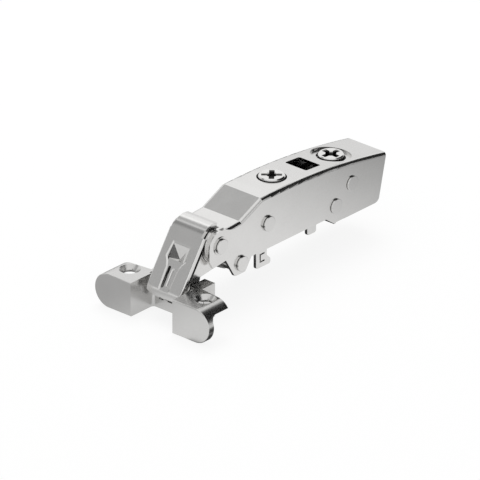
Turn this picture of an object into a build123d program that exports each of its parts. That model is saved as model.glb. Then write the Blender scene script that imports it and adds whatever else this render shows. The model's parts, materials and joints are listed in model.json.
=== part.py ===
from build123d import *
from math import acos, atan2, cos, degrees, hypot, radians, sin, sqrt
import os

# Concealed hinge for a thin or framed door, shown fully open.
# The origin is midway between the two door screws, on the underside of the screw lugs.
# +X runs from the door part to the rear of the arm, +Z is up, and Y = 0 is the plane of symmetry.

# Driving dimensions in millimetres: sheets, plays and fits
casing_sheet = 1.0
channel_sheet = 1.0
link_sheet = 1.2
slide_sheet = 1.0
carrier_sheet = 1.0
side_play = 0.2
pin_play = 0.05
bend_radius = 1.2

# Pivots, in the plane of symmetry, as (x, z)
outer_arm_pivot = (14.6, 11.6)
inner_arm_pivot = (23.65, 2.7)
outer_door_pivot = (3.5, -3.0)
inner_door_pivot = (2.75, 1.3)
spring_pivot = (35.6, 11.5)
tilt_pivot = (66.1, 6.2)
stop_pivot = (73.4, 11.2)
latch_pivot = (76.5, 3.0)

# Pins and rivets
rivet_radius = 1.6
head_radius = 2.35
head_height = 0.6
washer_radius = 2.9
washer_height = 0.3
outer_door_pin_radius = 1.3
inner_door_pin_radius = 1.0
latch_pin_radius = 1.0
loose_pivot_play = 0.85

# Arm
arm_width = 16.0
nose_front = 17.2
nose_top = 15.9
slant_foot = (23.6, 16.3)
slant_top = (32.9, 20.5)
roof_middle = (61.0, 19.7)
roof_rear = (89.1, 15.8)
heel_rear = 85.6
heel_bottom = 0.7
heel_front = 69.9
wall_bottom = 3.3
notch_front = 65.4
rear_corner_radius = 2.0
outer_lobe_radius = 5.0
channel_lobe_radius = 5.9
inner_lobe_radius = 3.4
inner_lobe_front = 16.9
inner_lobe_run = 1.2
channel_rear = 53.0
channel_roof_front = 38.5
channel_roof_top = 18.4

# Screws, cam and window in the roof of the arm
overlay_screw_x = 46.2
overlay_head_radius = 4.15
overlay_head_height = 1.5
overlay_head_proud = 0.75
overlay_stem_radius = 2.5
overlay_foot_radius = 3.4
overlay_foot_height = 1.0
screw_room = 0.45
overlay_recess_angle = 40.0
nut_radius = 5.2
nut_height = 2.6
nut_shoulder = 1.2
cam_x = 72.9
cam_head_radius = 4.0
cam_head_proud = 0.3
cam_recess_angle = -6.0
cam_flange_radius = 5.5
cam_flange_height = 0.8
dish_radius = 6.3
dish_depth = 0.8
cam_stem_radius = 2.4
cam_pivot_radius = 1.5
cam_disc_radius = 5.6
cam_disc_height = 1.5
cam_groove_depth = 0.9
cam_travel = 1.8
cam_turn = 150.0
follower_radius = 0.5
follower_x = 1.9
follower_y = 2.9
window_x = 60.15
window_length = 6.6
window_width = 8.5
window_corner = 0.6

# Adjusting slide and clip carrier
slide_floor = 6.4
slide_front = 42.5
slide_cheek_front = 60.5
slide_rear = 81.0
slide_cheek_top = 13.6
slide_heel = -0.1
tongue_width = 9.0
carrier_front = 32.9
carrier_rear = 82.0
carrier_gap = 0.2
carrier_wall_bottom = 1.5
hook_length = 6.4
hook_bottom = -3.6
hook_mouth = 1.6
tab_front = 55.9
tab_length = 4.0
tab_bottom = -0.8
seat_x = 50.0
seat_length = 22.0
seat_width = 7.0
seat_rise = 0.2
latch_hook_bottom = -2.2
latch_thumb_rear = 87.0
latch_thickness = 1.6
latch_reach = 7.1
latch_wire = 0.2
latch_coil_radius = 1.0
latch_coil_turns = 1.6
hook_corner = 0.8
hook_slot = 0.5
hook_slot_height = 2.9
hook_slot_reach = 2.2
stop_room = 0.35
overlay_spigot_radius = 1.5
cam_lift = 0.2

# Links
link_plate_width = 13.4
link_plate_edge = 0.5
link_roll_width = 11.6
link_plate_angle = 34.3
link_plate_offset = 7.4
link_roll_radius = 6.3
link_knee_radius = 3.0
link_tail_x = -2.2
link_tail_bottom = -2.0
link_tail_cut = (2.6, 1.2)
link_roll_end_angle = 17.0
link_door_boss = 2.6
link_arm_boss = 4.0
flange_corner = (16.6, 4.2)
flange_knee = (8.0, 3.1)
inner_link_eye = 3.4
inner_link_door_eye = 2.0
inner_link_knee = (14.5, 5.8)
inner_link_depth = 3.4
bush_wall = 0.45
flange_slot_top = 2.2
flange_slot_bottom = 16.2
flange_slot_width = 2.1
keyhole_top = 3.5
keyhole_bottom = 19.0
keyhole_width = 8.2
keyhole_depth = 0.25
keyhole_wall_taper = 63.0
dimple_depth = 1.2
dimple_top = 3.9
dimple_bottom = 9.2
dimple_width = 6.9
dimple_apex = (0.3, 8.1)
keyhole_slot_width = 1.0
keyhole_slot_length = 6.9
keyhole_slot_middle = 14.4
keyhole_slot_side = 1.15
keyhole_groove_depth = 0.5
keyhole_groove_length = 6.2
keyhole_groove_width = 1.3
keyhole_groove_side = 0.6

# Door part
screw_spacing = 30.0
screw_hole_radius = 2.1
screw_sink_radius = 3.3
lug_height = 11.0
lug_front = 7.1
lug_plate = 2.3
lug_table = 2.0
lug_table_rear = 4.0
lug_table_taper = 1.3
lug_gap = 16.6
lug_reach = 22.7
lug_fillet = 2.0
gap_fillet = 1.0
lug_edge = 0.35
ear_rear = 9.7
ear_outer = 10.1
bridge_front = 2.8
bridge_height = 3.1
web_thickness = 1.6
web_length = 5.0
web_play = 0.4

# Closing spring
spring_wire = 1.0
spring_coil_radius = 2.75
spring_rest_angle = -12.0
spring_coil_gap = 0.03
spring_sleeve_wall = 0.3

os.makedirs("parts", exist_ok=True)

# Widths that follow from the sheets, measured from the plane of symmetry
casing_outer = arm_width / 2
casing_inner = casing_outer - casing_sheet
channel_inner = casing_inner - channel_sheet
flange_outer = channel_inner - side_play
flange_inner = flange_outer - link_sheet
web_outer = flange_inner - web_play
web_inner = web_outer - web_thickness
inner_link_half = web_inner - side_play
cheek_outer = casing_inner - side_play * 0.75
cheek_inner = cheek_outer - slide_sheet
carrier_outer = cheek_inner - side_play
carrier_inner = carrier_outer - carrier_sheet
latch_half = carrier_inner - side_play
ear_inner = flange_outer + side_play

# Heights of the door part
lug_top = lug_table
lug_bottom = lug_top - lug_height
lug_round = lug_height / 2
lug_middle = lug_top - lug_round


def reach(direction, distance, start=(0.0, 0.0)):
    """A point at a distance from start, in a direction given in degrees from +Z towards -X."""
    turn = radians(direction)
    return (start[0] - distance * sin(turn), start[1] + distance * cos(turn))


def roof_height(x):
    """Height of the curved roof of the arm at x."""
    roof = ThreePointArc(slant_top, roof_middle, roof_rear)
    centre = roof.arc_center
    return centre.Y + sqrt(roof.radius ** 2 - (x - centre.X) ** 2)


def roof_normal(x):
    """Direction square to the curved roof of the arm at x."""
    centre = ThreePointArc(slant_top, roof_middle, roof_rear).arc_center
    return (x - centre.X, 0, roof_height(x) - centre.Y)


def side_plane(y):
    """A plane with local x along +X and local y along +Z, at a distance y from the middle."""
    return Plane(origin=(0, y, 0), x_dir=(1, 0, 0), z_dir=(0, -1, 0))


def across(centre, radius, half_length):
    """A pin along Y through a pivot, for use as a cutter."""
    x, z = centre
    return Cylinder(radius, 2 * half_length, rotation=(90, 0, 0), mode=Mode.PRIVATE).moved(Location((x, 0, z)))


def hole_across(centre, radius, half_length=casing_outer + 1):
    """Cut one round hole along Y through the part being built."""
    add(across(centre, radius, half_length), mode=Mode.SUBTRACT)


def export_piece(builder, name):
    builder.part.label = name
    export_step(builder.part, f"parts/{name}.step")


def hood_points(depth):
    """Tail end, knee, tangent point and roll end of the link plate, at a depth under its outer face."""
    tail_x = link_tail_x + depth
    tangent = reach(90 - link_plate_angle, link_plate_offset - depth, outer_arm_pivot)
    roll_end = reach(-link_roll_end_angle, link_roll_radius - depth, roll_centre)
    run = (tangent[0] - tail_x) / sin(radians(link_plate_angle))
    knee = (tail_x, tangent[1] - run * cos(radians(link_plate_angle)))
    return (tail_x, link_tail_bottom), knee, tangent, roll_end


# Arm casing: one folded sheet, open below, in front and behind
with BuildPart() as arm_casing:
    with BuildSketch(side_plane(0)) as casing_side:
        with BuildLine():
            ThreePointArc(slant_top, roof_middle, roof_rear)
            lobe_side = (outer_arm_pivot[0] - outer_lobe_radius, outer_arm_pivot[1])
            lobe_top = (outer_arm_pivot[0], outer_arm_pivot[1] + outer_lobe_radius)
            lower_lobe = inner_arm_pivot[1] - inner_lobe_radius
            Polyline(roof_rear, (heel_rear, heel_bottom), (heel_front, heel_bottom),
                     (notch_front, wall_bottom),
                     (inner_arm_pivot[0] + inner_lobe_radius + inner_lobe_run, wall_bottom),
                     (inner_arm_pivot[0] + 1.8, lower_lobe), (inner_arm_pivot[0] - 2.8, lower_lobe),
                     (inner_lobe_front, wall_bottom + 2.7),
                     (outer_arm_pivot[0] - 3.4, wall_bottom + 2.1),
                     (lobe_side[0], lobe_side[1] - 3.4), lobe_side)
            JernArc(lobe_side, (0, 1), outer_lobe_radius, -90)
            Polyline(lobe_top, (nose_front, nose_top), slant_foot, slant_top)
        make_face()
        heel_corners = casing_side.vertices().filter_by(lambda v: abs(v.Y - heel_bottom) < 0.01)
        fillet(heel_corners.sort_by(Axis.X)[-1], rear_corner_radius)
        fillet(casing_side.vertices().filter_by(lambda v: abs(v.Y - lower_lobe) < 0.01), 1.0)
    extrude(amount=casing_outer, both=True)
    bends = arm_casing.edges().filter_by(lambda e: abs(e.center().Y) > casing_outer - 0.01)
    bends = bends.filter_by(lambda e: e.center().Z > nose_top and e.center().X > nose_front and e.length > 3)
    fillet(bends.filter_by(lambda e: e.center().X < roof_rear[0] - 1), bend_radius)
    with BuildSketch(side_plane(0)):
        with BuildLine():
            under = [(x, z - casing_sheet) for x, z in (slant_top, roof_middle, roof_rear)]
            past_rear = roof_rear[0] + 5
            ThreePointArc(*under)
            Polyline(under[2], (past_rear, under[2][1] - 1), (past_rear, -20), (0, -20), (0, nose_top + 10),
                     (nose_front, nose_top + 10), (nose_front, nose_top - casing_sheet),
                     (slant_foot[0], slant_foot[1] - casing_sheet), under[0])
        make_face()
    extrude(amount=casing_inner, both=True, mode=Mode.SUBTRACT)
    for pivot in (outer_arm_pivot, inner_arm_pivot, spring_pivot, tilt_pivot, stop_pivot):
        hole_across(pivot, rivet_radius)
    with BuildSketch(Plane.XY.offset(nose_top - casing_sheet)):
        with Locations((overlay_screw_x, 0)):
            Circle(overlay_head_radius + screw_room)
        with Locations((window_x, 0)):
            RectangleRounded(window_length, window_width, window_corner)
    extrude(amount=10, mode=Mode.SUBTRACT)
    dish = Plane(origin=(cam_x, 0, roof_height(cam_x)), x_dir=(0, 1, 0), z_dir=roof_normal(cam_x))
    with BuildSketch(dish.offset(-dish_depth - casing_sheet)):
        Circle(dish_radius + casing_sheet / 2)
    extrude(amount=casing_sheet)
    with BuildSketch(dish.offset(-dish_depth)):
        Circle(dish_radius)
    extrude(amount=3 * dish_depth, mode=Mode.SUBTRACT)
    with BuildSketch(Plane.XY.offset(nose_top - 2 * casing_sheet)):
        with Locations((cam_x, 0)):
            Circle(cam_head_radius + screw_room + side_play / 2)
    extrude(amount=10, mode=Mode.SUBTRACT)
export_piece(arm_casing, "arm_casing")

# Inner channel: stiffens the front of the arm and carries the rivets of both links
with BuildPart() as inner_channel:
    front_top = nose_top - casing_sheet - side_play
    with BuildSketch(side_plane(0)):
        with Locations(outer_arm_pivot):
            Circle(channel_lobe_radius)
        with Locations((nose_front - side_play, front_top)):
            Rectangle(20, 10, align=(Align.MIN, Align.MIN), mode=Mode.SUBTRACT)
        with Locations((0, outer_arm_pivot[1] + outer_lobe_radius)):
            Rectangle(80, 10, align=(Align.CENTER, Align.MIN), mode=Mode.SUBTRACT)
        with Locations(inner_arm_pivot):
            Circle(inner_lobe_radius - side_play)
        with BuildLine():
            Polyline((outer_arm_pivot[0], wall_bottom + 3.2),
                     (inner_lobe_front + inner_lobe_run, wall_bottom + 2.2),
                     (inner_arm_pivot[0] - 2.6, inner_arm_pivot[1] - 1.0),
                     (inner_arm_pivot[0] + 2.6, inner_arm_pivot[1] - 1.0),
                     (inner_arm_pivot[0] + inner_lobe_radius + inner_lobe_run, wall_bottom + 0.6),
                     (channel_rear, wall_bottom + 0.6),
                     (channel_rear, channel_roof_top), (channel_roof_front, channel_roof_top),
                     (slant_foot[0], front_top), (outer_arm_pivot[0], front_top), close=True)
        make_face()
    extrude(amount=casing_inner, both=True)
    with BuildSketch(side_plane(0)):
        Rectangle(4 * channel_rear, 4 * channel_rear)
        with Locations((channel_roof_front, channel_roof_top)):
            Rectangle(4 * channel_rear, channel_sheet, align=(Align.MIN, Align.MAX), mode=Mode.SUBTRACT)
    extrude(amount=channel_inner, both=True, mode=Mode.SUBTRACT)
    for pivot in (outer_arm_pivot, inner_arm_pivot, spring_pivot):
        hole_across(pivot, rivet_radius)
    with BuildSketch(Plane.XY.offset(channel_roof_top - 2 * channel_sheet)):
        with Locations((overlay_screw_x, 0)):
            Circle(nut_radius - nut_shoulder)
    extrude(amount=4 * channel_sheet, mode=Mode.SUBTRACT)
export_piece(inner_channel, "inner_channel")

# Three rivets right through the arm: two link pivots and the spring rivet
with BuildPart() as arm_rivets:
    for x, z in (outer_arm_pivot, inner_arm_pivot, spring_pivot):
        with BuildSketch(side_plane(0)):
            with Locations((x, z)):
                Circle(rivet_radius)
        extrude(amount=casing_outer + washer_height, both=True)
    for x, z in (outer_arm_pivot, inner_arm_pivot, spring_pivot):
        for side in (-1, 1):
            with BuildSketch(side_plane(side * (casing_outer + washer_height))):
                with Locations((x, z)):
                    Circle(head_radius)
            extrude(amount=-side * head_height)
    fillet(arm_rivets.edges().filter_by(GeomType.CIRCLE).filter_by(
        lambda e: abs(e.center().Y) > casing_outer + washer_height + head_height - 0.01), head_height * 0.25)
export_piece(arm_rivets, "arm_rivets")

# Washers under the heads of the three rivets
with BuildPart() as rivet_washers:
    for x, z in (outer_arm_pivot, inner_arm_pivot, spring_pivot):
        ring = washer_radius if (x, z) == outer_arm_pivot else head_radius + side_play
        for side in (-1, 1):
            with BuildSketch(side_plane(side * casing_outer)):
                with Locations((x, z)):
                    Circle(ring)
                    Circle(rivet_radius, mode=Mode.SUBTRACT)
            extrude(amount=-side * washer_height)
export_piece(rivet_washers, "rivet_washers")

# Four short studs in the side walls: the tilt pivot and the tilt stop
with BuildPart() as side_studs:
    for x, z in (tilt_pivot, stop_pivot):
        for side in (-1, 1):
            with BuildSketch(side_plane(side * (cheek_inner + side_play / 2))):
                with Locations((x, z)):
                    Circle(rivet_radius)
            extrude(amount=-side * (casing_outer - cheek_inner - side_play / 2))
            with BuildSketch(side_plane(side * casing_outer)):
                with Locations((x, z)):
                    Circle(head_radius)
            extrude(amount=-side * head_height)
    fillet(side_studs.edges().filter_by(GeomType.CIRCLE).filter_by(
        lambda e: abs(e.center().Y) > casing_outer + head_height - 0.01), head_height * 0.25)
export_piece(side_studs, "side_studs")

# Outer link: a plate in front, rolled over the arm pivot, with a flange on each side
roll_centre = reach(90 - link_plate_angle, link_plate_offset - link_roll_radius, outer_arm_pivot)
with BuildPart() as outer_link:
    tail_out, knee_out, tangent_out, roll_out = hood_points(0)
    tail_in, knee_in, tangent_in, roll_in = hood_points(link_sheet)
    with BuildSketch(side_plane(0)):
        with BuildLine():
            Polyline(tangent_out, knee_out, tail_out, tail_in, knee_in, tangent_in, close=True)
        make_face()
    extrude(amount=link_plate_width / 2, both=True)
    for (x, z), radius in ((knee_out, link_knee_radius + link_sheet), (knee_in, link_knee_radius)):
        knee = outer_link.edges().filter_by(Axis.Y).filter_by(
            lambda e: abs(e.center().X - x) < 0.01 and abs(e.center().Z - z) < 0.01)
        fillet(knee, radius)
    sides = outer_link.edges().filter_by(lambda e: abs(e.center().Y) > link_plate_width / 2 - 0.01)
    fillet(sides.filter_by(lambda e: e.length > 5).sort_by(Axis.X)[0:2], link_plate_edge)
    cut_width, cut_height = link_tail_cut
    tail_plane = Plane(origin=(link_tail_x - 1, 0, link_tail_bottom), x_dir=(0, 1, 0), z_dir=(1, 0, 0))
    for side in (-1, 1):
        with BuildSketch(tail_plane):
            with BuildLine():
                edge = link_plate_width / 2
                Polyline((side * edge, cut_height), (side * edge, -1), (side * (edge - cut_width), -1),
                         (side * (edge - cut_width), 0), close=True)
            make_face()
        extrude(amount=link_sheet + 2, mode=Mode.SUBTRACT)
    roll_turn = 90 - link_plate_angle + link_roll_end_angle
    with BuildSketch(side_plane(0)):
        with BuildLine():
            CenterArc(roll_centre, link_roll_radius, 90 - link_roll_end_angle, roll_turn)
            CenterArc(roll_centre, link_roll_radius - link_sheet, 90 - link_roll_end_angle, roll_turn)
            Line(roll_out, roll_in)
            Line(tangent_out, tangent_in)
        make_face()
    extrude(amount=link_roll_width / 2, both=True)
    for side in (-1, 1):
        with BuildSketch(side_plane(side * flange_inner)):
            with Locations(outer_arm_pivot):
                Circle(link_arm_boss)
            with Locations(outer_door_pivot):
                Circle(link_door_boss)
            with BuildLine():
                boss_top = reach(90 - link_plate_angle, link_arm_boss, outer_arm_pivot)
                Polyline(tangent_in, knee_in, tail_in, outer_door_pivot,
                         (outer_door_pivot[0] + link_door_boss, outer_door_pivot[1]), flange_knee,
                         flange_corner, outer_arm_pivot, boss_top, close=True)
            make_face()
        extrude(amount=-side * link_sheet)
    hole_across(outer_arm_pivot, rivet_radius + bush_wall + pin_play)
    hole_across(outer_door_pivot, outer_door_pin_radius + pin_play)
    slope = radians(link_plate_angle)
    along = Plane(origin=(tangent_out[0], 0, tangent_out[1]), x_dir=(0, -1, 0),
                  z_dir=(-cos(slope), 0, sin(slope)))
    with BuildSketch(along.offset(-link_sheet)):
        with Locations((0, -(flange_slot_top + flange_slot_bottom) / 2)):
            Rectangle(2 * link_plate_width, flange_slot_bottom - flange_slot_top)
    extrude(amount=-flange_slot_width, mode=Mode.SUBTRACT)
    with BuildSketch(along):
        with BuildLine():
            outline = [(0.84, -keyhole_top), (1, -keyhole_top - 5.0), (0.76, -keyhole_top - 6.3),
                       (0.6, -keyhole_top - 8.0), (0.52, -keyhole_bottom)]
            half = [(part * keyhole_width / 2, v) for part, v in outline]
            Polyline(half + [(-u, v) for u, v in reversed(half)], close=True)
        make_face()
    extrude(amount=-keyhole_depth, taper=keyhole_wall_taper, mode=Mode.SUBTRACT)
    dimple_middle = -(dimple_top + dimple_bottom) / 2
    dimple_length = dimple_bottom - dimple_top
    apex_u, apex_v = dimple_apex[0], -dimple_apex[1]
    with BuildSketch(along.offset(-link_sheet)):
        with Locations((0, dimple_middle)):
            Rectangle(dimple_width, dimple_length)
    with BuildSketch(along.offset(-keyhole_depth - dimple_depth - link_sheet / 2)):
        with Locations((apex_u, apex_v)):
            Rectangle(link_sheet, link_sheet)
    loft()
    with BuildSketch(along.offset(-keyhole_depth)):
        with Locations((0, dimple_middle)):
            Rectangle(dimple_width - link_sheet / 2, dimple_length - link_sheet / 2)
    with BuildSketch(along.offset(-keyhole_depth - dimple_depth)):
        with Locations((apex_u, apex_v)):
            Rectangle(link_sheet / 4, link_sheet / 4)
    loft(mode=Mode.SUBTRACT)
    with BuildSketch(along.offset(-link_sheet)):
        with Locations((-keyhole_slot_side, -keyhole_slot_middle)):
            SlotOverall(keyhole_slot_length, keyhole_slot_width, rotation=90)
    extrude(amount=link_sheet, mode=Mode.SUBTRACT)
    with BuildSketch(along.offset(-keyhole_depth)):
        with Locations((keyhole_groove_side, -keyhole_slot_middle)):
            SlotOverall(keyhole_groove_length, keyhole_groove_width, rotation=90)
    extrude(amount=-keyhole_groove_depth, taper=35, mode=Mode.SUBTRACT)
export_piece(outer_link, "outer_link")

# Bushes pressed into the flanges of the outer link
with BuildPart() as link_bushes:
    for side in (-1, 1):
        with BuildSketch(side_plane(side * (flange_inner - web_play / 2))):
            with Locations(outer_arm_pivot):
                Circle(rivet_radius + bush_wall + pin_play + 0.5)
                Circle(rivet_radius + pin_play, mode=Mode.SUBTRACT)
        extrude(amount=-side * web_play / 2)
        with BuildSketch(side_plane(side * flange_inner)):
            with Locations(outer_arm_pivot):
                Circle(rivet_radius + bush_wall + pin_play)
                Circle(rivet_radius + pin_play, mode=Mode.SUBTRACT)
        extrude(amount=-side * (link_sheet + side_play / 2))
export_piece(link_bushes, "link_bushes")

# Inner link: a bent bar between the webs of the door part, with a loose eye at its arm end
with BuildPart() as inner_link:
    for first, first_radius, second, second_radius in (
            (inner_door_pivot, inner_link_door_eye, inner_link_knee, inner_link_depth / 2),
            (inner_link_knee, inner_link_depth / 2, inner_arm_pivot, inner_link_eye)):
        with BuildSketch(side_plane(0)):
            with Locations(first):
                Circle(first_radius)
            with Locations(second):
                Circle(second_radius)
            make_hull()
        extrude(amount=inner_link_half, both=True)
    hole_across(inner_door_pivot, inner_door_pin_radius + pin_play)
    hole_across(inner_arm_pivot, rivet_radius + loose_pivot_play)
export_piece(inner_link, "inner_link")

# Spacers that keep the inner link in the middle of the arm
with BuildPart() as link_spacers:
    for side in (-1, 1):
        with BuildSketch(side_plane(side * (inner_link_half + side_play / 2))):
            with Locations(inner_arm_pivot):
                Circle(inner_lobe_radius - 2 * side_play)
                Circle(rivet_radius, mode=Mode.SUBTRACT)
        extrude(amount=-side * (channel_inner - inner_link_half - side_play / 2))
export_piece(link_spacers, "link_spacers")


def lug_outline(side):
    """Outline of one screw lug seen from the front, drawn in the sketch being built."""
    with Locations((side * (lug_gap / 2 + lug_reach - lug_round) / 2, lug_middle)):
        Rectangle(lug_reach - lug_round - lug_gap / 2, lug_height)
    with Locations((side * (lug_reach - lug_round), lug_middle)):
        Circle(lug_round)


# Door part: one casting with two screw lugs, two ears and two inner webs joined by a bridge
with BuildPart() as door_body:
    front = Plane(origin=(-lug_front, 0, 0), x_dir=(0, 1, 0), z_dir=(1, 0, 0))
    for side in (-1, 1):
        with BuildSketch(front):
            lug_outline(side)
        extrude(amount=lug_plate)
        with BuildSketch(front):
            lug_outline(side)
            with Locations((side * lug_reach / 2, 0)):
                Rectangle(2 * lug_reach, lug_height, align=(Align.CENTER, Align.MAX), mode=Mode.SUBTRACT)
        extrude(amount=lug_front + lug_table_rear)
        with BuildSketch(Plane.XY.offset(-lug_table)):
            with BuildLine():
                past_rear = lug_table_rear + 1
                Polyline((lug_table_rear, side * ear_outer),
                         (lug_table_rear - lug_table_taper, side * lug_reach),
                         (past_rear, side * lug_reach), (past_rear, side * ear_outer), close=True)
            make_face()
        extrude(amount=2 * lug_table + 1, mode=Mode.SUBTRACT)
    hollow = door_body.edges().filter_by(Axis.Y).filter_by(
        lambda e: abs(e.center().X + lug_front - lug_plate) < 0.01 and abs(e.center().Z) < 0.01)
    fillet(hollow, lug_fillet)
    for side in (-1, 1):
        with BuildSketch(Plane.XY.offset(lug_bottom)):
            with BuildLine():
                Polyline((-lug_front, side * lug_gap / 2), (-lug_front, side * (ear_outer + lug_fillet)),
                         (bridge_front, side * ear_outer), (ear_rear, side * ear_outer),
                         (ear_rear, side * ear_inner), (bridge_front, side * ear_inner),
                         (bridge_front, side * lug_gap / 2), close=True)
            make_face()
        extrude(amount=lug_height)
        with BuildSketch(side_plane(side * web_inner)):
            with Locations(outer_door_pivot):
                Circle(outer_door_pin_radius + 1.2)
            with Locations(inner_door_pivot):
                Circle(inner_door_pin_radius + 0.9)
            make_hull()
            with Locations((bridge_front, lug_bottom)):
                Rectangle(web_length, outer_door_pivot[1] - lug_bottom, align=(Align.MIN, Align.MIN))
        extrude(amount=-side * web_thickness)
    with BuildSketch(Plane.XY.offset(lug_bottom)):
        with Locations((bridge_front, 0)):
            Rectangle(ear_rear - bridge_front, 2 * ear_inner, align=(Align.MIN, Align.CENTER))
    extrude(amount=bridge_height)
    upright = door_body.edges().filter_by(Axis.Z).filter_by(
        lambda e: abs(e.center().X - bridge_front) < 0.01 and abs(abs(e.center().Y) - lug_gap / 2) < 0.01)
    fillet(upright, gap_fillet)
    rim = door_body.faces().filter_by(Axis.X).sort_by(Axis.X)[0:2].edges()
    fillet(rim.filter_by(lambda e: abs(e.center().Y) > lug_gap / 2 + 0.1), lug_edge)
    hole_across(outer_door_pivot, outer_door_pin_radius, lug_reach)
    hole_across(inner_door_pivot, inner_door_pin_radius)
    with Locations(Plane.XY.offset(lug_top)):
        with Locations((0, -screw_spacing / 2), (0, screw_spacing / 2)):
            CounterSinkHole(screw_hole_radius, screw_sink_radius)
export_piece(door_body, "door_body")

# Pin through the ears and the flanges of the outer link
with BuildPart() as outer_door_pin:
    with BuildSketch(side_plane(0)):
        with Locations(outer_door_pivot):
            Circle(outer_door_pin_radius)
    extrude(amount=ear_outer, both=True)
    chamfer(outer_door_pin.edges().filter_by(GeomType.CIRCLE), 0.2)
export_piece(outer_door_pin, "outer_door_pin")

# Pin through the webs and the front eye of the inner link
with BuildPart() as inner_door_pin:
    with BuildSketch(side_plane(0)):
        with Locations(inner_door_pivot):
            Circle(inner_door_pin_radius)
    extrude(amount=web_outer, both=True)
    chamfer(inner_door_pin.edges().filter_by(GeomType.CIRCLE), 0.15)
export_piece(inner_door_pin, "inner_door_pin")

# Sleeve under the closing spring
with BuildPart() as spring_sleeve:
    with BuildSketch(side_plane(0)):
        with Locations(spring_pivot):
            Circle(rivet_radius + spring_sleeve_wall)
            Circle(rivet_radius, mode=Mode.SUBTRACT)
    extrude(amount=channel_inner, both=True)
export_piece(spring_sleeve, "spring_sleeve")


def tangent_angle(tip, turn_sign):
    """Direction of the point where a straight leg from tip touches the closing spring's coil."""
    dx, dz = tip[0] - spring_pivot[0], tip[1] - spring_pivot[1]
    return degrees(atan2(-dx, dz)) + turn_sign * degrees(acos(spring_coil_radius / hypot(dx, dz)))


# Closing spring: a coil on each side, legs against the roof, and a bar that rests on the inner link
with BuildPart() as closing_spring:
    wire = spring_wire / 2
    rest_x, rest_z = reach(spring_rest_angle, inner_link_eye + wire + pin_play, inner_arm_pivot)
    roof_tip = (spring_pivot[0] + 5.9, channel_roof_top - channel_sheet - wire - pin_play)
    start_angle = tangent_angle((rest_x, rest_z), 1)
    coil_start = inner_link_half - wire / 2
    spring_pitch = spring_wire + spring_coil_gap
    part_turn = (tangent_angle(roof_tip, -1) - start_angle) % 360
    whole_turns = int((channel_inner - wire - coil_start) / spring_pitch - part_turn / 360)
    end_angle = start_angle + part_turn + 360 * whole_turns
    steps = 20 * whole_turns + 16
    for side in (-1, 1):
        coil = []
        for step in range(steps + 1):
            angle = start_angle + (end_angle - start_angle) * step / steps
            x, z = reach(angle, spring_coil_radius, spring_pivot)
            y = coil_start + spring_pitch * (angle - start_angle) / 360
            coil.append(Vector(x, side * y, z))
        roof_end = Vector(roof_tip[0], coil[-1].Y, roof_tip[1])
        rest_end = Vector(rest_x, coil[0].Y, rest_z)
        with BuildLine() as coil_line:
            Spline(*coil)
        with BuildSketch(Plane(origin=coil[0], z_dir=coil_line.line % 0)):
            Circle(wire)
        sweep(path=coil_line.line)
        for near, far in ((coil[0], rest_end), (coil[-1], roof_end)):
            with BuildSketch(Plane(origin=near, z_dir=far - near)):
                Circle(wire)
            extrude(amount=(far - near).length)
    with BuildSketch(side_plane(0)):
        with Locations((rest_x, rest_z)):
            Circle(wire)
    extrude(amount=coil_start, both=True)
    with Locations((rest_x, coil_start, rest_z), (rest_x, -coil_start, rest_z)):
        Sphere(wire)
export_piece(closing_spring, "closing_spring")

# Clip carrier: the part that clips on the mounting plate, a channel with two front hooks and two tabs
with BuildPart() as clip_carrier:
    web_top = slide_floor - carrier_gap
    with BuildSketch(side_plane(0)):
        with BuildLine():
            hook_rear = carrier_front + hook_length
            tab_rear = tab_front + tab_length
            Polyline((carrier_front, web_top), (carrier_front, hook_bottom), (hook_rear, hook_bottom),
                     (hook_rear, hook_bottom + hook_mouth),
                     (hook_rear - hook_mouth, hook_bottom + 2 * hook_mouth),
                     (hook_rear - hook_mouth, carrier_wall_bottom), (tab_front, carrier_wall_bottom),
                     (tab_front, tab_bottom), (tab_rear, tab_bottom), (tab_rear, carrier_wall_bottom),
                     (carrier_rear, carrier_wall_bottom), (carrier_rear, web_top), close=True)
        make_face()
    extrude(amount=carrier_outer, both=True)
    corners = clip_carrier.edges().filter_by(Axis.Y)
    fillet(corners.filter_by(lambda e: e.center().Z < hook_bottom + hook_mouth + 0.01), hook_corner)
    corners = clip_carrier.edges().filter_by(Axis.Y)
    fillet(corners.filter_by(lambda e: abs(e.center().Z - tab_bottom) < 0.01), hook_corner)
    with BuildSketch(Plane.XY.offset(hook_bottom - 1)):
        Rectangle(4 * carrier_rear, 2 * carrier_inner)
    extrude(amount=web_top - carrier_sheet - hook_bottom + 1, mode=Mode.SUBTRACT)
    with BuildSketch(Plane.XY.offset(web_top - carrier_sheet - seat_rise)):
        with Locations((seat_x, 0)):
            RectangleRounded(seat_length, seat_width, window_corner)
    extrude(amount=seat_rise)
    with BuildSketch(side_plane(0)):
        with Locations((carrier_front + hook_mouth, hook_bottom + hook_mouth)):
            Rectangle(hook_slot, hook_slot_height, align=(Align.MIN, Align.MIN))
            Rectangle(hook_slot_reach, hook_slot, align=(Align.MIN, Align.MIN))
        with Locations((carrier_front + hook_mouth, hook_bottom + hook_mouth + hook_slot_height)):
            Rectangle(hook_slot_reach, hook_slot, align=(Align.MIN, Align.MAX))
    extrude(amount=carrier_outer, both=True, mode=Mode.SUBTRACT)
    hole_across(latch_pivot, latch_pin_radius)
    with BuildSketch(Plane.XY.offset(web_top)):
        with Locations((cam_x + follower_x, follower_y)):
            Circle(follower_radius)
    extrude(amount=-carrier_sheet, mode=Mode.SUBTRACT)
export_piece(clip_carrier, "clip_carrier")

# Pin of the release lever
with BuildPart() as latch_pin:
    with BuildSketch(side_plane(0)):
        with Locations(latch_pivot):
            Circle(latch_pin_radius)
    extrude(amount=carrier_outer, both=True)
    chamfer(latch_pin.edges().filter_by(GeomType.CIRCLE), 0.15)
export_piece(latch_pin, "latch_pin")

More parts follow.
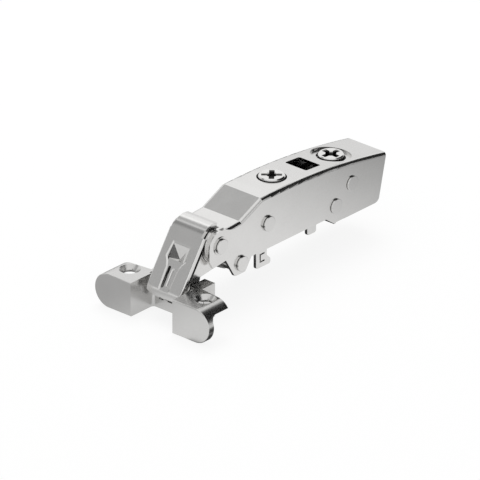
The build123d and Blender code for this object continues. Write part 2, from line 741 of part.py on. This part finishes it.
# Release lever: a hook in front of its pin and a thumb pad at the rear end of the arm
with BuildPart() as release_latch:
    pivot_x, pivot_z = latch_pivot
    with BuildSketch(side_plane(0)):
        with BuildLine():
            Polyline((pivot_x - latch_reach, pivot_z + 0.4), (pivot_x - 1.5, pivot_z + latch_thickness),
                     (pivot_x + 1.5, pivot_z + latch_thickness), (latch_thumb_rear - 2, pivot_z + 0.2),
                     (latch_thumb_rear, pivot_z + 0.2), (latch_thumb_rear, pivot_z - 1.2),
                     (latch_thumb_rear - 2, pivot_z - 1.2), (pivot_x + 1.2, pivot_z - latch_thickness),
                     (pivot_x - latch_reach + 2.0, pivot_z - latch_thickness),
                     (pivot_x - latch_reach + 2.0, latch_hook_bottom + 1.4),
                     (pivot_x - latch_reach + 0.6, latch_hook_bottom),
                     (pivot_x - latch_reach, latch_hook_bottom), close=True)
        make_face()
    extrude(amount=latch_half, both=True)
    hole_across(latch_pivot, latch_pin_radius + pin_play)
    thumb = release_latch.edges().filter_by(Axis.Z).filter_by(lambda e: e.center().X > latch_thumb_rear - 0.1)
    fillet(thumb, latch_thickness)
export_piece(release_latch, "release_latch")

# Small coil spring between the carrier and the front of the release lever
with BuildPart() as latch_spring:
    spring_x = latch_pivot[0] - latch_reach + 1.6
    seat_slope = (latch_thickness - 0.4) / (latch_reach - 1.5)
    seat = latch_pivot[1] + 0.4 + seat_slope * (1.6 + latch_coil_radius + latch_wire) + latch_wire
    top = web_top - carrier_sheet - latch_wire
    steps = 36
    coil = []
    for step in range(steps + 1):
        turn = radians(360 * latch_coil_turns * step / steps)
        coil.append(Vector(spring_x + latch_coil_radius * cos(turn), latch_coil_radius * sin(turn),
                           seat + (top - seat) * step / steps))
    with BuildLine() as coil_line:
        Spline(*coil)
    with BuildSketch(Plane(origin=coil[0], z_dir=coil_line.line % 0)):
        Circle(latch_wire)
    sweep(path=coil_line.line)
export_piece(latch_spring, "latch_spring")

# Adjusting slide: a floor on the carrier, two cheeks that hold the arm, a tongue under the front screw
with BuildPart() as adjusting_slide:
    with BuildSketch(side_plane(0)):
        with BuildLine():
            Polyline((slide_cheek_front, slide_floor), (slide_cheek_front, slide_cheek_top),
                     (slide_rear, slide_cheek_top), (slide_rear, slide_heel), (notch_front + 1.1, slide_heel),
                     (slide_cheek_front + 0.8, slide_heel + 3.7), (slide_cheek_front, slide_heel + 3.9),
                     close=True)
        make_face()
    extrude(amount=cheek_outer, both=True)
    with BuildSketch(side_plane(0)):
        with Locations((0, slide_floor + slide_sheet)):
            Rectangle(4 * slide_rear, slide_cheek_top, align=(Align.CENTER, Align.MIN))
        with Locations((0, slide_floor)):
            Rectangle(4 * slide_rear, 20, align=(Align.CENTER, Align.MAX))
    extrude(amount=cheek_inner, both=True, mode=Mode.SUBTRACT)
    with BuildSketch(Plane.XY.offset(slide_floor)):
        with Locations(((slide_front + slide_cheek_front) / 2 + 1, 0)):
            RectangleRounded(slide_cheek_front - slide_front + 2, tongue_width, 1.0)
    extrude(amount=slide_sheet)
    hole_across(tilt_pivot, rivet_radius + pin_play)
    hole_across(stop_pivot, rivet_radius + stop_room)
    with BuildSketch(Plane.XY.offset(slide_floor)):
        with Locations((cam_x, 0)):
            Circle(cam_pivot_radius + pin_play)
        with Locations((overlay_screw_x, 0)):
            Circle(overlay_spigot_radius + pin_play)
        with Locations((cam_x + follower_x, follower_y)):
            SlotCenterToCenter(2 * cam_travel, 2 * (follower_radius + side_play))
    extrude(amount=slide_sheet, mode=Mode.SUBTRACT)
export_piece(adjusting_slide, "adjusting_slide")

# Follower pin, riveted into the carrier, through a slot of the slide and into the groove of the cam
with BuildPart() as follower_pin:
    with BuildSketch(Plane.XY.offset(web_top - carrier_sheet)):
        with Locations((cam_x + follower_x, follower_y)):
            Circle(follower_radius)
    extrude(amount=carrier_sheet + carrier_gap + slide_sheet + cam_lift + cam_groove_depth - 0.1)
export_piece(follower_pin, "follower_pin")


def cross_recess(x, top, size, depth, angle):
    """Cut a tapering cross, turned by an angle, into the head of the screw being built."""
    with BuildSketch(Plane.XY.offset(top)) as cross:
        with Locations((x, 0)):
            Rectangle(size, size * 0.26, rotation=angle)
            Rectangle(size * 0.26, size, rotation=angle)
            Circle(size * 0.27)
    extrude(cross.sketch, amount=-depth, taper=9, mode=Mode.SUBTRACT)


def disc(x, bottom, top, radius):
    """One round step of a screw or cam standing upright at x."""
    with BuildSketch(Plane.XY.offset(bottom)) as outline:
        with Locations((x, 0)):
            Circle(radius)
    extrude(outline.sketch, amount=top - bottom)


# Depth cam: turns in the slide, its spiral groove runs over the follower pin and pushes the slide along
with BuildPart() as depth_cam:
    cam_floor = slide_floor + slide_sheet + cam_lift
    cam_top = roof_height(cam_x) + cam_head_proud
    flange_top = roof_height(cam_x + cam_head_radius) - dish_depth - casing_sheet - screw_room
    disc(cam_x, slide_floor, cam_floor, cam_pivot_radius)
    disc(cam_x, cam_floor, cam_floor + cam_disc_height, cam_disc_radius)
    disc(cam_x, cam_floor + cam_disc_height, flange_top - cam_flange_height, cam_stem_radius)
    disc(cam_x, flange_top - cam_flange_height, flange_top, cam_flange_radius)
    disc(cam_x, flange_top, cam_top, cam_head_radius)
    chamfer(depth_cam.edges().filter_by(GeomType.CIRCLE).sort_by(Axis.Z)[-1], 0.3)
    groove = []
    for step in range(27):
        turn = cam_turn * (step - 13) / 12
        follower = Vector(follower_x - cam_travel * turn / cam_turn, follower_y, 0).rotate(Axis.Z, -turn)
        groove.append((cam_x + follower.X, follower.Y))
    with BuildSketch(Plane.XY.offset(cam_floor)):
        with BuildLine():
            Spline(*groove)
        trace(line_width=2 * (follower_radius + pin_play + 0.05))
    extrude(amount=cam_groove_depth, mode=Mode.SUBTRACT)
    cross_recess(cam_x, cam_top, 1.55 * cam_head_radius, cam_head_radius / 2, cam_recess_angle)
export_piece(depth_cam, "depth_cam")

# Front screw: its foot is held by the tongue of the slide, its thread lifts or lowers the arm
with BuildPart() as overlay_screw:
    screw_top = roof_height(overlay_screw_x) + overlay_head_proud
    foot = slide_floor + slide_sheet
    disc(overlay_screw_x, slide_floor, foot, overlay_spigot_radius)
    disc(overlay_screw_x, foot, foot + overlay_foot_height, overlay_foot_radius)
    disc(overlay_screw_x, foot + overlay_foot_height, screw_top - overlay_head_height, overlay_stem_radius)
    disc(overlay_screw_x, screw_top - overlay_head_height, screw_top, overlay_head_radius)
    chamfer(overlay_screw.edges().filter_by(GeomType.CIRCLE).sort_by(Axis.Z)[-1], 0.4)
    cross_recess(overlay_screw_x, screw_top, 1.5 * overlay_head_radius, overlay_head_height,
                 overlay_recess_angle)
export_piece(overlay_screw, "overlay_screw")

# Threaded collar of the front screw, pressed into the roof of the inner channel
with BuildPart() as overlay_nut:
    channel_roof_bottom = channel_roof_top - channel_sheet
    disc(overlay_screw_x, channel_roof_bottom - nut_height, channel_roof_bottom, nut_radius)
    disc(overlay_screw_x, channel_roof_bottom, channel_roof_top, nut_radius - nut_shoulder)
    with Locations((overlay_screw_x, 0, channel_roof_top)):
        Hole(overlay_stem_radius + screw_room)
export_piece(overlay_nut, "overlay_nut")
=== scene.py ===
# %% [markdown]
# A concealed cabinet hinge, shown fully open on a white floor.
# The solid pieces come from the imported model, which is the fixed frame of everything here.
# This lesson gives each piece the soft edges and the plating of the real fitting,
# then lights it as a small metal object is lit in a studio.

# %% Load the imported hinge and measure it
import json
from math import cos, radians, sin

import bpy
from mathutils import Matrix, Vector


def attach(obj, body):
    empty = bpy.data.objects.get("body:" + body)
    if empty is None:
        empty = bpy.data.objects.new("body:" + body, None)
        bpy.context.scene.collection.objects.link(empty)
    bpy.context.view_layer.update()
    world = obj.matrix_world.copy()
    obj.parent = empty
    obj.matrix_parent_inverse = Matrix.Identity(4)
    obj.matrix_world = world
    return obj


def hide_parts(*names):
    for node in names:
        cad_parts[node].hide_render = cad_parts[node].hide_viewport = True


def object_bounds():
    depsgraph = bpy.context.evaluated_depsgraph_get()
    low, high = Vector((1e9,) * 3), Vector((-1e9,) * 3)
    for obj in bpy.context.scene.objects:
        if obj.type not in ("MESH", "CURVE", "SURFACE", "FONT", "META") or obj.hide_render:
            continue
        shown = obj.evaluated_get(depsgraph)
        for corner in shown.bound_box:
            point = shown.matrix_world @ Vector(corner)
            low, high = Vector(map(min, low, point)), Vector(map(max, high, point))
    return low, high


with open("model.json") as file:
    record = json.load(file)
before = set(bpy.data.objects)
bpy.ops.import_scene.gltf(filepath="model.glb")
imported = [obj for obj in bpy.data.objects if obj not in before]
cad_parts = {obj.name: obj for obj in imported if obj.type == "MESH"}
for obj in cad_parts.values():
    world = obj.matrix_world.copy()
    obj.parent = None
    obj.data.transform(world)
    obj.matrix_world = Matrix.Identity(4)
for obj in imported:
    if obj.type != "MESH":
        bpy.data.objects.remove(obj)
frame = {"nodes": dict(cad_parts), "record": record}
cad_box = [list(corner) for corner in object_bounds()]
bodies = frame["record"]["behaviour"]["bodies"]
node_body = {node: body for body, nodes in bodies.items() for node in nodes}
node_slot = {entry["node"]: entry["material_slot"] for entry in frame["record"]["subparts"]}
print("nodes", len(node_body), "box", cad_box)

# %% [markdown]
# The camera stands where the photographer stood: in front, to the left and above, with a long lens.
# A long lens keeps the two screw lugs nearly the same size, which is how such fittings are shown.
# Its place is given in metres from the middle of the two door screws.
# The second direction points from the hinge back to the camera.

# %% Stand the camera at the photograph's angle
camera_place = Vector((-1.76659, -1.60533, 1.17842))
camera_back = Vector((-0.67079, -0.59869, 0.43774))
bpy.ops.object.camera_add(location=camera_place)
camera = bpy.context.object
camera.name = "hinge_camera"
camera.rotation_mode = "QUATERNION"
camera.rotation_quaternion = (-camera_back).to_track_quat("-Z", "Y")
camera.data.lens = 677.4
camera.data.sensor_width = 36
camera.data.clip_start = 0.1
camera.data.clip_end = 20
bpy.context.scene.camera = camera
bpy.context.scene.view_settings.view_transform = "Standard"
print("camera", tuple(round(v, 3) for v in camera_place), "lens", camera.data.lens)

# %% [markdown]
# Every finish is built from the same few shader nodes, so a small class does the joining.
# It wraps one socket, and ordinary sums on it add the Math nodes.
# Its make method adds any other node: the settings are set first, then the values or links.
# The other methods name the few nodes that the hinge's finishes use again and again.

# %% A class that writes shader sums
class Socket:
    def __init__(self, tree, out):
        self.tree = tree
        self.out = out

    def make(self, kind, settings, values, result=0):
        node = self.tree.nodes.new(kind)
        for name, value in settings.items():
            if name == "stops":
                ramp = node.color_ramp
                while len(ramp.elements) < len(value):
                    ramp.elements.new(0.5)
                for element, (place, colour) in zip(ramp.elements, value):
                    element.position = place
                    element.color = colour
            else:
                setattr(node, name, value)
        for name, value in values.items():
            if isinstance(value, Socket):
                self.tree.links.new(value.out, node.inputs[name])
            else:
                node.inputs[name].default_value = value
        return Socket(self.tree, node.outputs[result])

    def maths(self, operation, first, second=0.0):
        return self.make("ShaderNodeMath", {"operation": operation}, {0: first, 1: second})

    def __add__(self, other):
        return self.maths("ADD", self, other)

    __radd__ = __add__

    def __mul__(self, other):
        return self.maths("MULTIPLY", self, other)

    __rmul__ = __mul__

    def __sub__(self, other):
        return self.maths("SUBTRACT", self, other)

    def __rsub__(self, other):
        return self.maths("SUBTRACT", other, self)

    def absolute(self):
        return self.maths("ABSOLUTE", self)

    def above(self, level):
        return self.maths("GREATER_THAN", self, level)

    def below(self, level):
        return self.maths("LESS_THAN", self, level)

    def clamp(self, low=0.0, high=1.0):
        return self.make("ShaderNodeClamp", {}, {"Value": self, "Min": low, "Max": high})

    def axis(self, letter):
        return self.make("ShaderNodeSeparateXYZ", {}, {"Vector": self}, result=letter)

    def towards(self, way):
        """How far this point lies along a direction."""
        return self.make("ShaderNodeVectorMath", {"operation": "DOT_PRODUCT"},
                         {0: self, 1: way}, result="Value")

    def slope(self, start, end, first=1.0, last=0.0, shape="LINEAR"):
        """The first level up to start, the last level from end on, and a slope between them."""
        return self.make("ShaderNodeMapRange", {"interpolation_type": shape}, {
            "Value": self, "From Min": start, "From Max": end, "To Min": first, "To Max": last})

    def noise(self, scale, detail, roughness=0.5):
        return self.make("ShaderNodeTexNoise", {}, {
            "Vector": self, "Scale": scale, "Detail": detail, "Roughness": roughness})

    def ramp(self, stops):
        return self.make("ShaderNodeValToRGB", {"stops": stops}, {"Fac": self})

    def covered(self, mask, colour):
        """This colour, with another one over it where the mask is one."""
        factor_input, lower_input, upper_input, colour_output = 0, 6, 7, 2
        return self.make("ShaderNodeMix", {"data_type": "RGBA"}, {
            factor_input: mask, lower_input: self, upper_input: colour}, result=colour_output)

    def shader_mix(self, lower, upper):
        """The lower shader where this mask is nothing, the upper one where it is one."""
        return self.make("ShaderNodeMixShader", {}, {0: self, 1: lower, 2: upper})


def grey(level):
    """Nickel's grey, a little warmer than a neutral one."""
    return (level, level * 0.993, level * 0.98, 1.0)


print("shader sums ready")

# %% [markdown]
# The arm, the link and the slide are sheet folded round a hollow, and the screws have a cross recess.
# In the real hinge little light reaches these places, and what the metal reflects there is dark too.
# They could be darkened by lamps alone, but polished metal would still mirror the white room.
# A mask on the piece's own coordinates is steady from all sides: it finds the points that lie
# near the middle plane and below a face, and shade is painted there: the colour is made dark and the finish
# dull.

# %% Find the hollow of a folded piece
side_fade = 0.00002


def hollow_mask(place, half_width, normal, start, end, low=-1.0, high=1.0):
    """One in the hollow: nearer the middle plane than half_width, and below end along the normal."""
    narrow = place.axis("Y").absolute().slope(half_width - side_fade, half_width)
    deep = place.towards(normal).slope(end, start)
    height = place.axis("Z")
    return narrow * deep * height.above(low) * height.below(high)


print("side fade", side_fade)

# %% [markdown]
# Nickel plating on pressed sheet is not perfectly even.
# Rolling leaves faint streaks along the strip, tumbling leaves tiny scratches,
# and handling leaves soft cloudy patches, so all three vary the roughness a little.
# A casting has a fine grain instead of streaks.
# A picture of metal could be laid on each piece, but noise nodes stay sharp at any distance
# and need no unwrapping, so every finish is one function with its own amounts.

# %% Plated metal finishes
cloud = 0.03
strip_stretch = (0.05, 1.0, 1.0)
# The next two set the painted shadow in the groove under a rivet head: how it fades in, and its grey.
foot_fade = 0.00004
groove_shade_level = 0.02
hollow_dullness = 0.3


def plated(name, level, roughness, streak=0.0, grain=0.05, grain_size=2200.0, scratch=0.0,
           foot=None, hollow=None, hollow_shade_tone=0.1):
    metal = bpy.data.materials.new(name)
    metal.use_nodes = True
    tree = metal.node_tree
    shader = tree.nodes["Principled BSDF"]
    shader.inputs["Metallic"].default_value = 1.0
    place = Socket(tree, tree.nodes.new("ShaderNodeTexCoord").outputs["Object"])
    clouds = place.noise(scale=160.0, detail=3.0)
    stretched = place.make("ShaderNodeMapping", {}, {"Vector": place, "Scale": strip_stretch})
    streaks = stretched.noise(scale=5200.0, detail=2.0)
    grains = place.noise(scale=grain_size, detail=4.0)
    marks = place.noise(scale=700.0, detail=6.0, roughness=0.7)
    rough = roughness + (clouds - 0.5) * cloud * 2 + (streaks - 0.5) * streak + (marks - 0.5) * scratch
    dark, light = level * 0.965, min(level * 1.03, 0.97)
    tone = (clouds * 0.4 + grains * 0.4 + streaks * 0.2).ramp(
        [(0.35, grey(dark)), (0.5, grey(level)), (0.65, grey(light))])
    # A rivet or stud gets painted shadow on its wall up to the foot height.
    if foot:
        groove_shade = place.axis("Y").absolute().slope(foot - foot_fade, foot)
        tone = tone.covered(groove_shade, grey(groove_shade_level))
    # A folded piece or a screw gets painted shade in its hollow: a dark colour there, and a duller finish.
    if hollow:
        inside = hollow_mask(place, **hollow)
        tone = tone.covered(inside, grey(hollow_shade_tone))
        rough = rough + inside * hollow_dullness
    tree.links.new(rough.clamp(0.04, 0.9).out, shader.inputs["Roughness"])
    tree.links.new(tone.out, shader.inputs["Base Color"])
    relief = streaks * streak * 2 + grains * grain
    bump = place.make("ShaderNodeBump", {}, {"Height": relief, "Strength": 0.12, "Distance": 0.00005})
    tree.links.new(bump.out, shader.inputs["Normal"])
    return metal


print("cloud", cloud, "hollow dullness", hollow_dullness)

# %% [markdown]
# Each rivet head stands a hair above the sheet, and the groove under it lies in shadow.
# That shadow is painted on the head's wall, dark from the sheet up to a height that is given for each kind
# of head.
# The folded pieces get painted shade inside them, and the two screws get painted shade in their recesses.
# A hollow begins at start and is fully dark from end on, both measured along its normal.
# The slide's painted shade reaches any height, so its hollow starts above the whole hinge.
# Below its top face a screw shows only its recess and the gap round its head,
# so shade is painted there over its whole width.

# %% Where each hollow lies
rivet_foot = 0.00848
stud_foot = 0.00816
plate_slant = radians(34.3)
upward = (0, 0, 1)
forward = (-1, 0, 0)
plate_normal = (-cos(plate_slant), 0, sin(plate_slant))
whole_width = 0.1
behind_nose = {"normal": forward, "start": -0.0195, "end": -0.0200, "high": 0.0146}
below_plate = {"normal": plate_normal, "start": -0.00100, "end": -0.00120, "low": 0.001, "high": 0.013}
casing_hollow = {"half_width": 0.00705, **behind_nose}
channel_hollow = {"half_width": 0.00605, **behind_nose}
link_hollow = {"half_width": 0.00478, **below_plate}
slide_hollow = {"half_width": 0.0058, "normal": upward, "start": 0.1, "end": 0.09}
front_recess = {"half_width": whole_width, "normal": upward, "start": 0.02105, "end": 0.02065}
rear_recess = {"half_width": whole_width, "normal": upward, "start": 0.01853, "end": 0.01813}
print("rivet foot", rivet_foot, "stud foot", stud_foot)

# %% [markdown]
# Sheet, casting, rivets, screws and wire are made in different ways, so each has its own grey and gloss.
# One nickel for all of them would be quicker, but the kinds of metal could no longer be told apart.
# A piece with a groove or a hollow gets a finish of its own, because the painted shade lies elsewhere on
# each.
# Every other node takes the finish of its slot in the record.

# %% Give every node its finish
sheet_look = {"level": 0.74, "roughness": 0.2, "streak": 0.03, "grain": 0.04, "grain_size": 1900.0}
rivet_look = {"level": 0.72, "roughness": 0.22, "grain": 0.1}
screw_look = {"level": 0.76, "roughness": 0.14, "scratch": 0.05}
# The screws' recesses take a darker painted shade than the folded pieces.
recessed_look = {"hollow_shade_tone": 0.05, **screw_look}
finishes = {
    "nickel_plated_sheet": plated("satin nickel sheet", **sheet_look),
    "nickel_plated_zinc_casting": plated("satin nickel casting", 0.64, 0.26, grain=0.22, grain_size=2600.0),
    "plated_rivet_steel": plated("nickel pin", **rivet_look),
    "plated_screw_steel": plated("bright plated screw", **screw_look),
    "spring_steel": plated("drawn spring wire", 0.42, 0.3, streak=0.04, grain_size=2600.0),
}
special = {
    "arm_rivets": plated("nickel rivet", foot=rivet_foot, **rivet_look),
    "side_studs": plated("nickel stud", foot=stud_foot, **rivet_look),
    "arm_casing": plated("arm sheet", hollow=casing_hollow, **sheet_look),
    "inner_channel": plated("channel sheet", hollow=channel_hollow, **sheet_look),
    "outer_link": plated("link sheet", hollow=link_hollow, **sheet_look),
    "adjusting_slide": plated("slide sheet", hollow=slide_hollow, **sheet_look),
    "inner_link": plated("unpolished link", 0.2, 0.4, grain=0.3),
    "overlay_screw": plated("front screw", hollow=front_recess, **recessed_look),
    "depth_cam": plated("rear screw", hollow=rear_recess, **recessed_look),
}
for node, slot in node_slot.items():
    holder = frame["nodes"][node]
    holder.data.materials.clear()
    holder.data.materials.append(special.get(node, finishes[slot]))
print("finishes", len(finishes) + len(special))

# %% [markdown]
# Smooth shading blends the light across an edge, which suits a bend and spoils a fold.
# The steep edges of a piece are marked sharp, so its flat faces keep one tone each.
# The keyhole pressed into the link is shallow, so the link has a lower limit.
# A fold across the roof of the arm is flatter still. A lower limit on the whole arm would
# make a sawtooth along its long bends, so that limit holds only for edges that run across the roof.

# %% Mark the edges that stay sharp
most_slant = 0.3


def crease(piece, angle, across_above=None):
    """Mark edges over an angle as sharp, or only those that run across the roof above a height."""
    bpy.ops.object.mode_set(mode="EDIT")
    bpy.ops.mesh.select_mode(type="EDGE")
    bpy.ops.mesh.select_all(action="DESELECT")
    bpy.ops.mesh.edges_select_sharp(sharpness=radians(angle))
    bpy.ops.object.mode_set(mode="OBJECT")
    for edge in piece.data.edges:
        start, end = (piece.data.vertices[corner].co for corner in edge.vertices)
        runs_across = abs(start.x - end.x) <= most_slant * (start - end).length
        on_roof = across_above is None or (runs_across and min(start.z, end.z) >= across_above)
        if edge.select and on_roof:
            edge.use_edge_sharp = True


usual_smooth_up_to = 34
smooth_up_to = {"outer_link": 15}
roof_smooth_up_to = 8
roof_height = 0.0145
print("sharp over", usual_smooth_up_to, "degrees, on the roof over", roof_smooth_up_to)

# %% [markdown]
# Pressed sheet, castings and rivets never have a perfectly sharp edge.
# The edge that is left catches the light as a thin line, and the eye reads that line as metal.
# Each solid is copied, its loose triangles are merged and joined into flat faces,
# and a narrow bevel rounds the edges. The copy stands for the solid it came from.
# A bump node could fake such an edge, but it would be missing from the mesh itself.

# %% Copies of the solids with worked edges
def select_only(piece):
    bpy.ops.object.select_all(action="DESELECT")
    piece.hide_set(False)
    piece.select_set(True)
    bpy.context.view_layer.objects.active = piece


def shown_as(piece, node):
    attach(piece, node_body[node])
    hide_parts(node)


same_point = 0.000002
flat_within = 1.0
bevel_turns = 2
bevel_over = 28.0
big_face_weight = 80


def edge_worked(node, width):
    select_only(frame["nodes"][node])
    bpy.ops.object.duplicate()
    piece = bpy.context.object
    piece.name = node + "_finished"
    piece.parent = None
    bpy.ops.object.mode_set(mode="EDIT")
    bpy.ops.mesh.select_all(action="SELECT")
    bpy.ops.mesh.remove_doubles(threshold=same_point)
    bpy.ops.mesh.dissolve_limited(angle_limit=radians(flat_within))
    bpy.ops.object.mode_set(mode="OBJECT")
    bevel = piece.modifiers.new("edge", "BEVEL")
    bevel.width = width
    bevel.segments = bevel_turns
    bevel.limit_method = "ANGLE"
    bevel.angle_limit = radians(bevel_over)
    bevel.use_clamp_overlap = True
    bpy.ops.object.modifier_apply(modifier="edge")
    bpy.ops.object.shade_smooth()
    crease(piece, smooth_up_to.get(node, usual_smooth_up_to))
    if node == "arm_casing":
        crease(piece, roof_smooth_up_to, across_above=roof_height)
    flat = piece.modifiers.new("flat faces", "WEIGHTED_NORMAL")
    flat.mode = "FACE_AREA"
    flat.weight = big_face_weight
    flat.keep_sharp = True
    bpy.ops.object.modifier_apply(modifier="flat faces")
    shown_as(piece, node)
    return piece


edge_widths = {
    "arm_casing": 0.00010, "inner_channel": 0.00008, "outer_link": 0.00014, "door_body": 0.00022,
    "clip_carrier": 0.00010, "adjusting_slide": 0.00010, "release_latch": 0.00012, "inner_link": 0.00015,
    "depth_cam": 0.00008, "overlay_screw": 0.00008, "arm_rivets": 0.00006, "side_studs": 0.00006,
}
for node, width in edge_widths.items():
    print(node, "faces", len(edge_worked(node, width).data.polygons))

# %% [markdown]
# The floor is a plain pale sheet, a hair below the lowest point of the hinge.
# Two surfaces at the same height can't be told apart by the renderer, so a small gap is left.

# %% Lay the white floor
def light_path(tree, *names):
    """One for the rays that are named, nothing for all others."""
    rays = tree.nodes.new("ShaderNodeLightPath")
    total = Socket(tree, rays.outputs[names[0]])
    for name in names[1:]:
        total = total + Socket(tree, rays.outputs[name])
    return total.clamp()


floor_side = 8
floor_gap = 0.0002
bpy.ops.object.select_all(action="DESELECT")
bpy.ops.mesh.primitive_plane_add(size=floor_side, location=(0, 0, cad_box[0][2] - floor_gap))
floor = bpy.context.object
floor.name = "floor"
paper = bpy.data.materials.new("white paper")
paper.use_nodes = True
paper_tree = paper.node_tree
paper_shader = paper_tree.nodes["Principled BSDF"]
paper_shader.inputs["Base Color"].default_value = (0.93, 0.93, 0.93, 1)
paper_shader.inputs["Roughness"].default_value = 0.9
paper_shader.inputs["Specular IOR Level"].default_value = 0.1
floor.data.materials.append(paper)
print("floor at", round(floor.location.z, 5))

# %% [markdown]
# The camera sees the floor as nearly pure white, with a small share of its real light,
# which keeps a faint soft shadow of the hinge.
# The metal mirrors the floor too. Paper is darker where the hinge stands over it,
# so what the metal mirrors is shaded under the near lug, beside it and under the arm,
# and grows darker towards the rear of the arm and on the far side.
# Lamps alone could shade it, but then the shadow that the camera sees would be just as strong.

# %% Shade the paper that the metal mirrors
spot = Socket(paper_tree, paper_tree.nodes.new("ShaderNodeTexCoord").outputs["Object"])
along = spot.axis("X")
sideways = spot.axis("Y")


def within(value, outside, inside, still_inside, outside_again):
    """One between the two inner limits, nothing past the two outer ones."""
    rise = 1 - value.slope(outside, inside, shape="SMOOTHSTEP")
    return rise * value.slope(still_inside, outside_again, shape="SMOOTHSTEP")


under_lug = within(along, -0.010, -0.006, 0.004, 0.008) * within(sideways, -0.028, -0.023, -0.016, -0.012)
under_arm = within(along, 0.010, 0.016, 0.094, 0.102) * within(sideways, -0.012, -0.006, 0.022, 0.030)
beside_lug = within(along, -0.009, -0.006, 0.020, 0.024) * within(sideways, -0.042, -0.038, -0.027, -0.024)
open_paper = 0.9
shade_depth = 0.95
white_share = 0.86
paper_tone = open_paper * along.slope(0.05, 0.15, last=0.4, shape="SMOOTHSTEP")
paper_tone = paper_tone * sideways.slope(-0.012, 0.026, last=0.6, shape="SMOOTHSTEP")
for shaded in (under_lug, under_arm, beside_lug):
    paper_tone = paper_tone * (1 - shaded * shade_depth)
camera_ray = light_path(paper_tree, "Is Camera Ray")
mirror_ray = light_path(paper_tree, "Is Glossy Ray", "Is Transmission Ray")
glow = spot.make("ShaderNodeEmission", {}, {"Strength": camera_ray + mirror_ray * paper_tone})
lit = Socket(paper_tree, paper_shader.outputs["BSDF"])
paper_mix = (camera_ray * white_share + mirror_ray).shader_mix(lit, glow)
paper_tree.links.new(paper_mix.out, paper_tree.nodes["Material Output"].inputs["Surface"])
print("paper shader nodes", len(paper_tree.nodes))

# %% [markdown]
# Polished metal is lit by what it reflects more than by the lamps.
# A photographer surrounds it with white paper and grey cards, so each face has one even tone
# and the bends between them turn dark.
# The paper and the cards could be real sheets in the scene, but they would cast shadows on the floor.
# Here they are painted on one large dome that only reflections can see.
# Each card is a round spot in one direction from the hinge: how far it reaches and how soft
# its rim is, both in degrees, and its tone. A card in the list covers those before it.

# %% A dome of white paper and grey cards
def card_tone(direction, cards, paper_level):
    level = paper_level
    for (x, y, z), reach, blur, tone in cards:
        length = (x * x + y * y + z * z) ** 0.5
        facing = direction.towards((x / length, y / length, z / length))
        mask = facing.slope(cos(radians(reach + blur)), cos(radians(reach - blur)), 0.0, 1.0, "SMOOTHSTEP")
        level = mask * (tone - level) + level
    return level


hinge_middle = (0.04, 0, 0)
bpy.ops.object.select_all(action="DESELECT")
bpy.ops.mesh.primitive_ico_sphere_add(subdivisions=5, radius=1.5, location=hinge_middle)
dome = bpy.context.object
dome.name = "paper_dome"
tent = bpy.data.materials.new("paper and cards")
tent.use_nodes = True
tent_tree = tent.node_tree
tent_tree.nodes.remove(tent_tree.nodes["Principled BSDF"])
from_middle = Socket(tent_tree, tent_tree.nodes.new("ShaderNodeTexCoord").outputs["Object"])
direction = from_middle.make("ShaderNodeVectorMath", {"operation": "NORMALIZE"},
                             {0: from_middle}, result="Vector")
white_paper = 0.95
cards = [
    ((0.67, 0.60, 0.44), 14, 6, 1.06),
    ((0.76, 0.60, 0.22), 9, 6, 0.85),
    ((-0.66, 0.60, 0.45), 20, 6, 0.49),
    ((-0.32, 0.60, 0.74), 9, 4, 0.24),
    ((0.115, 0.60, 0.79), 10, 3, 0.50),
    ((0.36, 0.60, 0.72), 6, 3, 1.3),
    ((0.67, -0.45, 0.58), 33, 5, 0.02),
    ((-0.83, 0.00, 0.58), 11, 4, 0.06),
]
tent_glow = direction.make("ShaderNodeEmission", {}, {"Strength": card_tone(direction, cards, white_paper)})
clear = direction.make("ShaderNodeBsdfTransparent", {}, {})
tent_mix = light_path(tent_tree, "Is Glossy Ray").shader_mix(clear, tent_glow)
tent_tree.links.new(tent_mix.out, tent_tree.nodes["Material Output"].inputs["Surface"])
dome.data.materials.append(tent)
print("cards", len(cards))

# %% [markdown]
# The room is a plain white sky. The camera sees it as pure white, and it lights the floor
# with about two thirds of that. Reflections meet the dome before they reach it.
# One large soft lamp above and behind the far side casts the hinge's shadow on the floor,
# and a weaker one in front softens it.
# Neither is mirrored in the metal, because the dome is there for that.

# %% Sky and lamps
sky = bpy.data.worlds.new("white room")
bpy.context.scene.world = sky
sky.use_nodes = True
sky_tree = sky.node_tree
sky_glow = sky_tree.nodes["Background"]
sky_glow.inputs["Color"].default_value = (1, 1, 1, 1)
sky_light = 0.65
background = light_path(sky_tree, "Is Camera Ray", "Is Glossy Ray", "Is Transmission Ray")
sky_strength = background * (1 - sky_light) + sky_light
sky_tree.links.new(sky_strength.out, sky_glow.inputs["Strength"])


def soft_lamp(name, stand, size, watts):
    bpy.ops.object.light_add(type="AREA", location=stand)
    lamp = bpy.context.object
    lamp.name = name
    lamp.data.size = size
    lamp.data.energy = watts
    lamp.visible_glossy = False
    lamp.rotation_mode = "QUATERNION"
    lamp.rotation_quaternion = (Vector(hinge_middle) - Vector(stand)).to_track_quat("-Z", "Y")


soft_lamp("top_softbox", (0.3, 0.3, 0.9), size=0.6, watts=4.5)
soft_lamp("front_softbox", (-0.6, -0.7, 0.5), size=0.5, watts=1.5)
